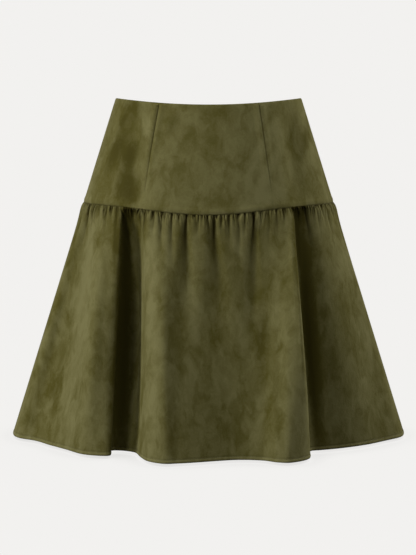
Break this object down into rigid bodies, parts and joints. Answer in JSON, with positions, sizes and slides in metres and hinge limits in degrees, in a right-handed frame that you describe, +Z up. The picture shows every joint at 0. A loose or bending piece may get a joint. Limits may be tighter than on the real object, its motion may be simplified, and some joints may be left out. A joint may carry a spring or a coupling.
{
  "type": "tiered skirt",
  "caption": "Worn-shape faux suede skirt, hollow: darted hip yoke, one gathered tier in deep soft folds, concealed centre-back zip.",
  "frame": {"origin": "middle of the waist opening, level with the tops of the side seams", "axes": "+Z up, the front of the skirt faces -Y, +X to the right when the skirt is seen from the front"},
  "size_m": [0.597, 0.4448, 0.5078],
  "materials": {
    "faux_suede": "brushed napped suede, matt, olive green, mottled where the nap lies different ways",
    "zip_tape": "woven polyester tape, olive",
    "zip_coil": "polyester coil, satin",
    "zip_metal": "zinc slider and pull, enamelled olive"
  },
  "bodies": {
    "skirt": {"yoke_front": "faux_suede", "yoke_back_right": "faux_suede", "yoke_back_left": "faux_suede", "tier_front": "faux_suede", "tier_back": "faux_suede", "zip_tape_right": "zip_tape", "zip_tape_left": "zip_tape", "zip_coil": "zip_coil", "zip_slider": "zip_metal"},
    "pull": {"zip_pull": "zip_metal"}
  },
  "joints": [
    {"name": "pull_hinge", "type": "hinge", "parent": "skirt", "child": "pull", "pos_m": [0, 0.10914, -0.0233], "axis": [1, 0, 0], "range_deg": [0, 160]}
  ]
}
